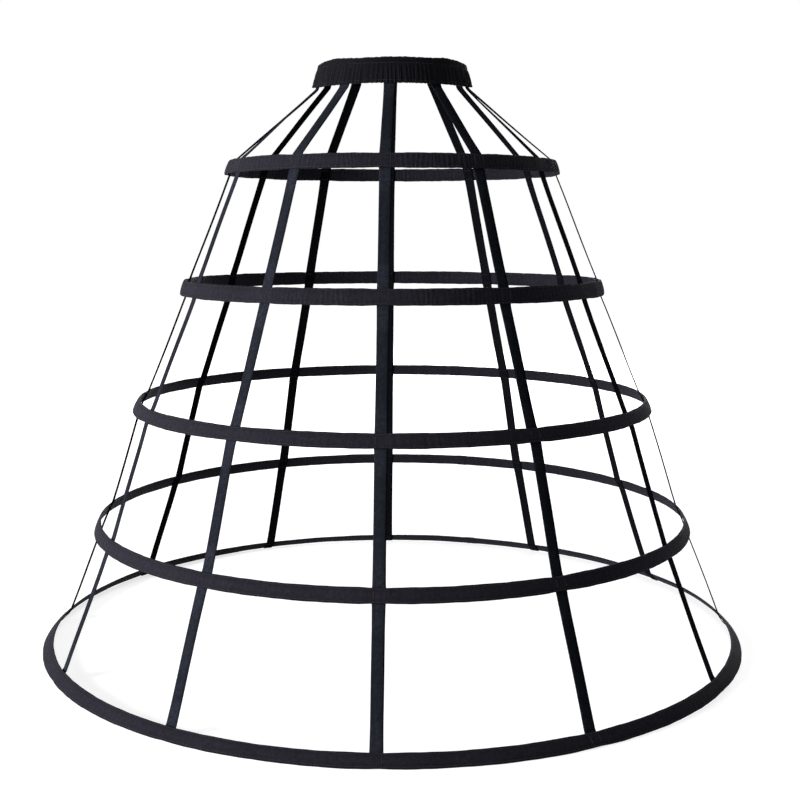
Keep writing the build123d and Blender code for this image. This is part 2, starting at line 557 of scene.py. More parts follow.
def wear_and_highlight_group() -> bpy.types.NodeTree:
    """Rubbed folds and painted highlight: cloth that has lost colour where a fold or a gather
    stands out, and painted highlight along the crests, which mark a band's rounded middle too.

    In words: the marked folds and seven tenths of the crests are added, broken up by a noise
    of a few millimetres, and kept from 0 to 1.

    Returns:
        The group, which gives a mask from 0 to 1.
    """
    g, start, end = new_group(
        "rubbed folds and painted highlight", {"Vector": None, "Fold": 0.0, "Crest": 0.0, "Amount": 0.5}, ["Mask"])
    broken = g.stretch(g.noise(start.outputs["Vector"], 260.0, 3.0), 0.35, 0.65)
    raised = g.sum("MULTIPLY_ADD", start.outputs["Crest"], 0.7, start.outputs["Fold"])
    worn_and_lit = g.sum("MULTIPLY", raised, g.sum("MULTIPLY_ADD", broken, 0.7, 0.3))
    g.feed(end, {"Mask": g.sum("MULTIPLY", worn_and_lit, start.outputs["Amount"], clamp=True)})
    return g.tree


class Groups:
    """The shared node groups, each made once."""

    def __init__(self) -> None:
        """Build the weave, the uneven dye, and the rubbed folds with their painted highlight."""
        self.weave = weave_group()
        self.dye = dye_group()
        self.wear_and_highlight = wear_and_highlight_group()


def new_material(name: str) -> tuple[bpy.types.Material, Graph, bpy.types.Node]:
    """Start a material with a Principled shader.

    Args:
        name: Name of the material.

    Returns:
        The material, a graph on its tree and the shader node.
    """
    material = bpy.data.materials.new(name)
    material.use_nodes = True
    graph = Graph(material.node_tree)
    return material, graph, material.node_tree.nodes["Principled BSDF"]


@dataclass(frozen=True)
class ClothFinish:
    """Dyed woven cloth.

    Attributes:
        name: Name of the material.
        deep: Colour where the dye is deepest.
        pale: Colour where it has gone thinnest.
        worn_and_lit: Colour of a rubbed fold, and of the painted highlight along the crests.
        wear_and_highlight: How much the folds are rubbed and the crests painted lighter.
        sheen: Weight of the soft sheen of the fibres.
        roughness: Roughness of the threads.
        warp: Pitch of the threads that run along the piece, in metres.
        weft: Pitch of the threads that run across it, in metres.
        relief: Height of the weave, in metres.
        sheen_tint: Colour of the sheen.
        gloss: Level of the plain reflection.
        patch: Size of the patches of uneven dye, in metres.
        inner_face_shade: Colour that paints the marked inner face darker, a painted shade, if there is
            one.
        inner_shade_cover: How much of that face's own colour the painted shade takes.
        weave_shade_share: How much of the tone is painted shade from the weave, the rest the dye.
        polish: How much smoother a rubbed fold is, and the cloth under the painted highlight.
        lint: Colour of lint.
    """

    name: str
    deep: Colour
    pale: Colour
    worn_and_lit: Colour
    wear_and_highlight: float
    sheen: float
    roughness: float
    warp: float = 0.45 * MM
    weft: float = 0.5 * MM
    relief: float = 0.12 * MM
    sheen_tint: Colour = (0.8, 0.78, 1.0, 1.0)
    gloss: float = 0.05
    patch: float = 0.06
    inner_face_shade: Colour | None = None
    inner_shade_cover: float = 0.85
    weave_shade_share: float = 0.35
    polish: float = 0.12
    lint: Colour = (0.12, 0.12, 0.13, 1.0)

    def material(self, groups: Groups) -> bpy.types.Material:
        """Make the material.

        Args:
            groups: The shared node groups.

        Returns:
            The finished material.
        """
        material, g, shader = new_material(self.name)
        where = g.place()
        cloth = g.node("ShaderNodeUVMap", uv_map="cloth").outputs[0]
        height = g.group(groups.weave, {"Vector": cloth, "Warp Pitch": self.warp,
                                        "Weft Pitch": self.weft}).outputs["Height"]
        dye = g.group(groups.dye, {"Vector": where, "Patch Size": self.patch})
        # The worn colour goes on rubbed folds and on the crests. It is painted highlight along the rounded
        # middle of a band or ribbon, and rubbed wear with painted highlight on pucker and gather crests.
        wear_and_highlight_mask = g.group(groups.wear_and_highlight, {"Vector": where, "Fold": g.mark("fold"),
                                      "Crest": g.mark("crest"),
                                      "Amount": self.wear_and_highlight}).outputs["Mask"]
        # The weave's height paints the gaps between the threads darker: painted shade.
        tone = g.sum("MULTIPLY_ADD", dye.outputs["Tone"], 1.0 - self.weave_shade_share,
                     g.sum("MULTIPLY", height, self.weave_shade_share), clamp=True)
        base = g.blend(wear_and_highlight_mask, g.blend(tone, self.deep, self.pale), self.worn_and_lit)
        # The marked inner face of a ribbon is painted darker: painted shade.
        if self.inner_face_shade:
            inner_shade = g.sum("MULTIPLY", g.mark("back"), self.inner_shade_cover)
            base = g.blend(inner_shade, base, self.inner_face_shade)
        g.feed(shader, {
            "Base Color": g.blend(dye.outputs["Lint Mask"], base, self.lint),
            "Roughness": g.sum("MULTIPLY_ADD", wear_and_highlight_mask, -self.polish, self.roughness),
            "Normal": g.bump(height, self.relief, 0.8),
            "Sheen Weight": self.sheen, "Sheen Roughness": 0.45, "Sheen Tint": self.sheen_tint,
            "Specular IOR Level": self.gloss})
        return material


@dataclass(frozen=True)
class PlainFinish:
    """A smooth finish with duller patches, for the hidden bones, joiners and the thread.

    Attributes:
        name: Name of the material.
        colour: Its colour.
        shade: Colour of its duller patches.
        roughness: Roughness of the clean surface.
        metallic: 1 for a metal.
        brush: How far brush marks are stretched round the piece, or 0 for none.
        patch: Size of the duller patches, in metres.
        dulling: How much rougher they are.
    """

    name: str
    colour: Colour
    shade: Colour
    roughness: float
    metallic: float = 0.0
    brush: float = 0.0
    patch: float = 0.02
    dulling: float = 0.15

    def material(self, groups: Groups) -> bpy.types.Material:
        """Make the material.

        Args:
            groups: The shared node groups.

        Returns:
            The finished material.
        """
        material, g, shader = new_material(self.name)
        where = g.place()
        tone = g.group(groups.dye, {"Vector": where, "Patch Size": self.patch,
                                    "Lint": 0.0}).outputs["Tone"]
        g.feed(shader, {"Base Color": g.blend(tone, self.colour, self.shade),
                        "Roughness": g.sum("MULTIPLY_ADD", tone, self.dulling, self.roughness),
                        "Metallic": self.metallic})
        if self.brush:
            drawn = g.node("ShaderNodeMapping", {"Vector": where, "Scale": (1.0, 1.0, self.brush)})
            marks = g.noise(drawn.outputs[0], 120.0, 4.0)
            g.feed(shader, {"Normal": g.bump(marks, 0.05 * MM, 0.4)})
        return material


@dataclass(frozen=True)
class ElasticFinish:
    """Braided elastic, ribbed along its length.

    Attributes:
        name: Name of the material.
        deep: Colour between the ribs, painted shade in the grooves.
        pale: Colour of the ribs.
        rib: Pitch of the ribs, in metres.
        relief: Height of the ribs, in metres.
    """

    name: str
    deep: Colour
    pale: Colour
    rib: float = 1.4 * MM
    relief: float = 0.3 * MM

    def material(self, groups: Groups) -> bpy.types.Material:
        """Make the material.

        In words: the rib's height is the absolute sine of pi times the height above the floor
        over the pitch, since the band's edges run nearly level.

        Args:
            groups: The shared node groups.

        Returns:
            The finished material.
        """
        material, g, shader = new_material(self.name)
        where = g.place()
        parts = g.node("ShaderNodeSeparateXYZ", {0: where})
        rib = g.wave(g.sum("MULTIPLY", parts.outputs[2], pi / self.rib))
        dye = g.group(groups.dye, {"Vector": where})
        # The colour follows the rib's height, so the grooves are painted darker: painted shade.
        tone = g.sum("MULTIPLY", rib, g.sum("MULTIPLY_ADD", dye.outputs["Tone"], 0.4, 0.6))
        g.feed(shader, {"Base Color": g.blend(tone, self.deep, self.pale),
                        "Normal": g.bump(rib, self.relief, 0.7),
                        "Roughness": 0.75, "Sheen Weight": 0.15})
        return material


class Dye(Enum):
    """The finishes of this cage, one for each of its cloths and hard parts."""

    # Each worn colour is also the painted highlight along the crests.
    BAND_CLOTH = ClothFinish(
        "gathered waist cloth",
        deep=(0.0011, 0.0011, 0.0016, 1.0), pale=(0.0034, 0.0033, 0.0048, 1.0),
        worn_and_lit=(0.0100, 0.0096, 0.0132, 1.0), wear_and_highlight=0.55, sheen=0.012, roughness=0.84)
    CASING_CLOTH = ClothFinish(
        "casing cloth", deep=(0.0026, 0.0024, 0.0037, 1.0), pale=(0.0072, 0.0067, 0.0100, 1.0),
        worn_and_lit=(0.0250, 0.0233, 0.0335, 1.0), wear_and_highlight=0.75, sheen=0.022, roughness=0.80)
    # The ribbon's inner face gets a darker colour below: painted shade.
    RIBBON = ClothFinish(
        "grosgrain ribbon", deep=(0.0042, 0.0046, 0.0063, 1.0), pale=(0.0094, 0.0102, 0.0140, 1.0),
        worn_and_lit=(0.0250, 0.0270, 0.0372, 1.0), wear_and_highlight=0.65, sheen=0.009, roughness=0.72,
        warp=0.3 * MM, weft=1.0 * MM, relief=0.10 * MM, sheen_tint=(0.72, 0.80, 1.0, 1.0),
        gloss=0.0, patch=0.12, inner_face_shade=(0.0026, 0.0026, 0.0031, 1.0))
    THREAD = PlainFinish(
        "sewing thread", (0.007, 0.007, 0.010, 1.0), (0.015, 0.014, 0.020, 1.0), 0.7)
    BONE = PlainFinish("plastic boning", (0.66, 0.66, 0.63, 1.0), (0.52, 0.52, 0.50, 1.0), 0.35)
    JOINER = PlainFinish("steel joiner", (0.56, 0.56, 0.58, 1.0), (0.40, 0.40, 0.42, 1.0), 0.28,
                         metallic=1.0, brush=12.0)
    ELASTIC = ElasticFinish(
        "braided elastic", (0.006, 0.006, 0.008, 1.0), (0.022, 0.022, 0.026, 1.0))


class Workroom:
    """Makes each finish once, when it is first asked for, and puts pieces in their place."""

    def __init__(self) -> None:
        """Build the node groups."""
        self.groups = Groups()
        self.made: dict[Dye, bpy.types.Material] = {}

    def material(self, dye: Dye) -> bpy.types.Material:
        """Give the material of a finish.

        Args:
            dye: Which finish.

        Returns:
            The material.
        """
        if dye not in self.made:
            self.made[dye] = dye.value.material(self.groups)
        return self.made[dye]

    def dress(self, node: str, dye: Dye) -> None:
        """Give a CAD node a finish.

        Args:
            node: Name of the node.
            dye: Which finish.
        """
        mesh = bpy.data.objects[node].data
        mesh.materials.clear()
        mesh.materials.append(self.material(dye))

    @staticmethod
    def settle(cloth: bpy.types.Object, seams: bpy.types.Object,
               slot: str) -> list[bpy.types.Object]:
        """Hang a cloth piece and its stitches on the cage's body.

        Args:
            cloth: The cloth piece.
            seams: Its stitches.
            slot: Name of the slot; not used.

        Returns:
            Both pieces.
        """
        for piece in (cloth, seams):
            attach(piece, "root")
        return [cloth, seams]


# Hoops

PUCKER_DRIFT = Wander((5, 13, 31, 57), (1.8, 1.3, 1.0, 0.8))
PUCKER_LEAN = Wander((9, 23, 41), (2.0, 2.0, 1.6))
PUCKER_STRENGTH = Wander((7, 19, 37, 71), (0.2, 0.18, 0.16, 0.14))
CASING_SWELL = Wander((11, 17, 29, 43), (0.35, 0.3, 0.2, 0.15))
CASING_TILT = Wander((8, 21, 33), (0.4, 0.3, 0.3))
CASING_TWIST = Wander((2, 3, 5, 8), (0.45, 0.4, 0.35, 0.2))
CASING_EDGE = Wander((15, 39, 83, 131), (0.5, 0.5, 0.4, 0.3))


class Face(Enum):
    """The two broad faces of a casing, as the sign of the way out from its middle."""

    OUTSIDE = 1.0
    INSIDE = -1.0


@dataclass
class Hoop:
    """One boned hoop: a doubled cloth casing, sewn along both edges, round a flat bone.

    Lengths are in metres and angles in degrees. An angle round the cage starts at the front
    and grows towards the viewer's right.

    Attributes:
        node: First part of the names of its CAD nodes.
        radius: Radius of the middle of the band.
        height: Height of the middle of the band.
        lean: Lean of the band from upright.
        width: Width of the casing.
        pucker_pitch: From one pucker to the next.
        pucker_depth: Depth of the puckers.
        slack: Size of the slow waves in the cloth.
        twist: Size of the band's slow twist.
        seed: Picks the uneven parts.
        tapes: Angles of the tapes that are sewn to it.
        columns: Steps round the hoop.
        face_rows: Rows of points on each broad face.
        edge_rows: Rows of points round each fold.
        crowding: How far the rows crowd towards the folds, from 0 to 1.
        tunnel_steps: Steps round the tunnel for the bone.
        tunnel_rows: Places of the tunnel's rows, as shares of its half width.
        belly: Half thickness of the casing over the bone.
        margin: Half thickness at the folds.
        cloth: Thickness of the cloth.
        fold_reach: Width of the part that is marked as a fold.
        seam_inset: From a fold to its row of stitches.
        seam_groove: Depth of the groove under a row of stitches.
        groove_reach: Half width of that groove.
        strength: Mean strength of the puckers, from 0 to 1.
        creases: Share of short uneven creases in the puckers.
        edge_calm: How much weaker the puckers are at a fold.
        calm_reach: Width of the part beside a fold where they weaken.
        edge_wave: Size of the small uneven wave of the casing's edges.
        lap_angle: Where the casing's ends lap over each other.
        lap_length: Length of the lap.
        lap_rise: Extra thickness of the lap.
        lap_ease: Length of the lap's soft end.
        lap_drop: Half length of its sharp end.
        lap_true: Turns from the lap at which the twist starts and is full, in radians.
        deepest_pucker: Depth of pucker at which crests are rubbed the most and get the most painted
            highlight.
        tape_pull: How far a tape draws the casing's edges in.
        tape_reach: How far along the hoop that pull reaches.
        tape_press: How much flatter the cloth lies under a tape, as a share.
        tape_bed: How far along the hoop it lies flatter.
        tack_inset: From the lap's middle to each upright row of stitches on it.
    """

    node: str
    radius: float
    height: float
    lean: float
    width: float
    pucker_pitch: float
    pucker_depth: float
    slack: float
    twist: float
    seed: int
    tapes: Sequence[float]
    columns: int = 1100
    face_rows: int = 15
    edge_rows: int = 3
    crowding: float = 0.82
    tunnel_steps: int = 144
    tunnel_rows: Sequence[float] = (-1.0, -0.72, -0.6, 0.0, 0.6, 0.72, 1.0)
    belly: float = 2.0 * MM
    margin: float = 0.6 * MM
    cloth: float = 0.7 * MM
    fold_reach: float = 1.4 * MM
    seam_inset: float = 1.9 * MM
    seam_groove: float = 0.22 * MM
    groove_reach: float = 0.55 * MM
    strength: float = 0.6
    creases: float = 0.22
    edge_calm: float = 0.55
    calm_reach: float = 1.5 * MM
    edge_wave: float = 0.22 * MM
    lap_angle: float = 165.0
    lap_length: float = 16.0 * MM
    lap_rise: float = 0.55 * MM
    lap_ease: float = 3.0 * MM
    lap_drop: float = 0.6 * MM
    lap_true: tuple[float, float] = (0.10, 0.35)
    deepest_pucker: float = 0.75 * MM
    tape_pull: float = 0.7 * MM
    tape_reach: float = 16.0 * MM
    tape_press: float = 0.8
    tape_bed: float = 9.0 * MM
    tack_inset: float = 5.5 * MM

    def half_thickness(self, down: np.ndarray) -> np.ndarray:
        """How far the cloth stands from the middle, across the band.

        In words: half of a flat oval, from the belly over the bone to the margin at the
        folds, less a narrow bell-shaped groove under each row of stitches.

        Args:
            down: Distances below the middle line.

        Returns:
            Distances out from the middle surface.
        """
        away = np.abs(down)
        oval = np.sqrt(np.clip(1.0 - (away / (self.width / 2)) ** 2, 0.0, 1.0))
        seam = self.width / 2 - self.seam_inset
        groove = self.seam_groove * bell(away - seam, self.groove_reach)
        return self.margin + (self.belly - self.margin) * oval - groove

    def bed_depth(self, half: float) -> float:
        """How far in from the middle line a flat tape's middle lies against the round hoop."""
        return self.belly + self.radius - sqrt(self.radius ** 2 - half ** 2)

    def pucker(self, angle: np.ndarray, down: np.ndarray) -> np.ndarray:
        """Height of the puckers, from 0 in a valley to 1 on a crest.

        In words: a cosine with a whole number of waves round the hoop, whose phase wanders
        and leans across the band, weaker in some stretches than in others, with short creases
        added.

        Args:
            angle: Angles in radians.
            down: Distances below the middle line.

        Returns:
            Heights from 0 to 1.
        """
        across = down / self.width
        count = round(tau * self.radius / self.pucker_pitch)
        phase = count * angle + PUCKER_DRIFT.at(angle, self.seed)
        phase = phase + PUCKER_LEAN.at(angle, self.seed + 1) * across
        strength = np.clip(self.strength + PUCKER_STRENGTH.at(angle, self.seed + 2), 0.1, 1.0)
        uneven = crumple(angle, across, (count // 2, 2 * count), 5.0, self.seed + 7)
        return np.clip((0.5 + 0.5 * np.cos(phase)) * strength + self.creases * uneven, 0.0, 1.0)

    def wave(self, angle: np.ndarray, down: np.ndarray) -> np.ndarray:
        """How far the cloth stands out beyond its plain section.

        In words: the puckers, weaker at the folds, a slow swell and a slow tilt across the
        band, all of them pressed flatter under each tape.

        Args:
            angle: Angles in radians.
            down: Distances below the middle line.

        Returns:
            Distances in metres.
        """
        half = self.width / 2
        edge = 1.0 - self.edge_calm * smooth(np.abs(down), half - self.calm_reach, half)
        puckers = self.pucker_depth * (self.pucker(angle, down) - 0.5) * edge
        swell = self.slack * CASING_SWELL.at(angle, self.seed + 3)
        tilt = self.slack * CASING_TILT.at(angle, self.seed + 4) * down / self.width
        pressed = self.tape_press * self._near_tape(angle, self.tape_bed)
        return (puckers + swell + tilt) * (1.0 - pressed)

    def _near_tape(self, angle: np.ndarray, reach: float) -> np.ndarray:
        """A bell-shaped bump at each tape, 1 at its middle and a third at the reach."""
        return sum(bell(turn_from(angle, tape) * self.radius, reach) for tape in self.tapes)

    def frame_at(self, angle: np.ndarray) -> Row:
        """Middle of the band and the directions across and down it.

        In words: the lean turns slowly round the hoop by the twist, except near the joiner,
        and the two directions are the outward one turned by that lean.

        Args:
            angle: Angles in radians.

        Returns:
            The middle points, the outward and the downward directions.
        """
        true = smooth(np.abs(turn_from(angle, self.lap_angle)), *self.lap_true)
        twisted = radians(self.twist) * CASING_TWIST.at(angle, self.seed + 5) * true
        turned = radians(self.lean) + twisted
        out = np.stack([np.sin(angle), -np.cos(angle), np.zeros_like(angle)], -1)
        rise, lie = np.sin(turned)[..., None], np.cos(turned)[..., None]
        return out * self.radius + UP * self.height, out * lie + UP * rise, out * rise - UP * lie

    def at(self, angle: np.ndarray, out: np.ndarray, down: np.ndarray) -> np.ndarray:
        """Points at distances out from the band's middle surface and below its middle line."""
        middle, across, along_down = self.frame_at(angle)
        return middle + across * out[..., None] + along_down * down[..., None]

    def lap(self, angle: np.ndarray) -> np.ndarray:
        """Extra thickness where the casing's ends lap over each other.

        In words: a rise over the length of the lap, that eases in at one end and drops
        within a millimetre at the other.

        Args:
            angle: Angles in radians.

        Returns:
            Thickness in metres.
        """
        along = turn_from(angle, self.lap_angle) * self.radius
        half = self.lap_length / 2
        ease_in = smooth(along, -half - self.lap_ease, -half)
        drop = 1.0 - smooth(along, half - self.lap_drop, half + self.lap_drop)
        return self.lap_rise * ease_in * drop

    def outline(self) -> Row:
        """The casing's section as a closed line.

        In words: down the outside, round the lower fold in half a circle, up the inside, and
        round the upper fold.

        Returns:
            Distances below the middle line, shares of the half thickness from 1 on the outside
            to -1 on the inside, and how near each point is to a fold.
        """
        flat_half = self.width / 2 - self.margin
        crowd = pi / 2 * self.crowding
        side = np.sin(np.linspace(-1.0, 1.0, self.face_rows) * crowd) / sin(crowd) * flat_half
        turn = np.linspace(0.0, pi, self.edge_rows + 2)[1:-1]
        down = np.concatenate([side, flat_half + self.margin * np.sin(turn),
                               side[::-1], -flat_half - self.margin * np.sin(turn)])
        share = np.concatenate([np.ones_like(side), np.cos(turn),
                                -np.ones_like(side), -np.cos(turn)])
        return down, share, smooth(np.abs(down), self.width / 2 - self.fold_reach, self.width / 2)

    def casing_sheets(self) -> list[Sheet]:
        """The casing's outer surface and the tunnel for the bone inside it.

        Returns:
            The two closed surfaces.
        """
        down, share, fold = self.outline()
        half = self.width / 2
        a, d = ring_grid(self.columns, down)
        edge = self.edge_wobble(a) * np.sign(d) * smooth(np.abs(d), half / 2, half)
        out = share[:, None] * (self.half_thickness(d) + self.lap(a)) + self.wave(a, d)
        points = self.at(a, out, d + edge)
        points[..., 2] = np.maximum(points[..., 2], 0.0)
        section = np.stack([share * self.half_thickness(down), down], -1)
        steps = np.linalg.norm(np.diff(section, axis=0, append=section[:1]), axis=-1)
        flat = flat_grid(np.linspace(0.0, tau * self.radius, self.columns + 1), so_far(steps))
        # The crest mark is painted highlight along the band's rounded middle over the bone, and rubbed
        # wear with painted highlight on the pucker crests, more of it on deeper puckers.
        over_bone = 1.0 - np.clip(np.abs(d) / half, 0.0, 1.0) ** 2
        closeness = self.pucker_depth / self.deepest_pucker
        crest = (0.6 - 0.2 * closeness) * over_bone + 0.4 * closeness * self.pucker(a, d)
        marks = {"fold": np.broadcast_to(0.1 * fold[:, None], a.shape), "crest": crest}
        return [Sheet(points, flat, marks=marks), self._tunnel()]

    def edge_wobble(self, angle: np.ndarray) -> np.ndarray:
        """How far the edges stand out: a small uneven wave, less a soft pull at each tape."""
        wobble = self.edge_wave * CASING_EDGE.at(angle, self.seed + 6)
        return wobble + self.tape_pull * (0.5 - self._near_tape(angle, self.tape_reach))

    def _tunnel(self) -> Sheet:
        """The inner surface of the casing: its section, less the cloth's thickness all round.

        Returns:
            A closed surface that faces inwards.
        """
        half = self.width / 2 - self.cloth
        row = np.array(self.tunnel_rows) * half
        down = np.concatenate([row, row[::-1]])
        share = np.repeat([1.0, -1.0], len(row))
        a, d = ring_grid(self.tunnel_steps, down)
        room = np.maximum(self.half_thickness(d) - self.cloth, 0.1 * MM) + self.lap(a) * 0.5
        points = self.at(a, share[:, None] * room, d)
        points[..., 2] = np.maximum(points[..., 2], self.cloth)
        flat = flat_grid(np.linspace(0.0, tau * self.radius, self.tunnel_steps + 1),
                         np.linspace(0.0, 4.0 * half, len(down) + 1))
        return Sheet(points, flat, hollow=True)

    def seam_rows(self, stitch: Stitch, tack_reach: float) -> list[Row]:
        """Rows of stitches along both edges and across the lap, and a box of them at each tape.

        Args:
            stitch: The stitch.
            tack_reach: How far a box's upright rows lie from the middle of a tape.

        Returns:
            Places, directions and outward directions of each row.
        """
        rows = []
        count = round(tau * self.radius / stitch.pitch)
        line = self.width / 2 - self.seam_inset
        for face in Face:
            for down in (-line, line):
                start = 0.3 / count if face is Face.INSIDE else 0.0
                angle = np.arange(count) * tau / count + start
                rows.append(self._row(angle, np.full(count, down), face, (1.0, 0.0)))
            for off in (-self.tack_inset, self.tack_inset):
                turn = radians(self.lap_angle) + off / self.radius
                rows.append(self._upright_row(turn, line, face, stitch))
        for tape in self.tapes:
            for side in (-1.0, 1.0):
                turn = radians(tape) + side * tack_reach / self.radius
                rows.append(self._upright_row(turn, line, Face.OUTSIDE, stitch))
        return rows

    def _upright_row(self, turn: float, line: float, face: Face, stitch: Stitch) -> Row:
        """One row across the band, between the two seams.

        Args:
            turn: Its angle round the cage, in radians.
            line: From the middle line to a seam.
            face: Which face.
            stitch: The stitch.

        Returns:
            Places, directions and outward directions.
        """
        count = int((2 * line - stitch.pitch) / stitch.pitch)
        down = (np.arange(count) - (count - 1) / 2) * stitch.pitch
        return self._row(np.full(count, turn), down, face, (0.0, 1.0))

    def _row(self, angle: np.ndarray, down: np.ndarray, face: Face,
             way: tuple[float, float]) -> Row:
        """Stitches on a face, running round the hoop or down the band.

        In words: the direction is the difference between points half a millimetre on and
        half a millimetre back.

        Args:
            angle: Angles in radians.
            down: Distances below the middle line.
            face: Which face.
            way: Shares of the run round the hoop and down the band.

        Returns:
            Places, directions and outward directions.
        """
        near = 0.5 * MM
        ahead, places, behind = (
            self._skin(angle + step * way[0] * near / self.radius,
                       down + step * way[1] * near, face)
            for step in (1.0, 0.0, -1.0))
        return places, ahead - behind, self.frame_at(angle)[1] * face.value

    def _skin(self, angle: np.ndarray, down: np.ndarray, face: Face) -> np.ndarray:
        """Points on one broad face: out by the half thickness, the lap and the cloth's wave."""
        out = face.value * (self.half_thickness(down) + self.lap(angle)) + self.wave(angle, down)
        return self.at(angle, out, down)

    def build(self, room: Workroom, stitch: Stitch, tack_reach: float) -> list[bpy.types.Object]:
        """Make the casing and its stitches, and dress the bone and its joiner.

        Args:
            room: Where the finishes come from.
            stitch: The stitch.
            tack_reach: How far the tack rows lie from the middle of a tape.

        Returns:
            The new pieces.
        """
        casing = build_piece(f"{self.node}_cloth", self.casing_sheets(),
                             room.material(Dye.CASING_CLOTH))
        seams = stitch.build(f"{self.node}_stitching", self.seam_rows(stitch, tack_reach),
                             room.material(Dye.THREAD))
        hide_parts(f"{self.node}_casing")
        room.dress(f"{self.node}_bone", Dye.BONE)
        room.dress(f"{self.node}_bone_joiner", Dye.JOINER)
        return room.settle(casing, seams, "casing_cloth")


# Waistband

GATHER_DRIFT = Wander((3, 7, 16, 29), (1.6, 1.4, 1.1, 0.9))
GATHER_LEAN = Wander((5, 12, 26), (0.9, 0.8, 0.8))
GATHER_SPLIT = Wander((9, 21, 44), (1.5, 1.2, 1.0))
GATHER_STRENGTH = Wander((6, 14, 33, 61), (0.12, 0.12, 0.12, 0.10))
BAND_RUFFLE = Wander((23, 57, 91), (0.5, 0.5, 0.4))


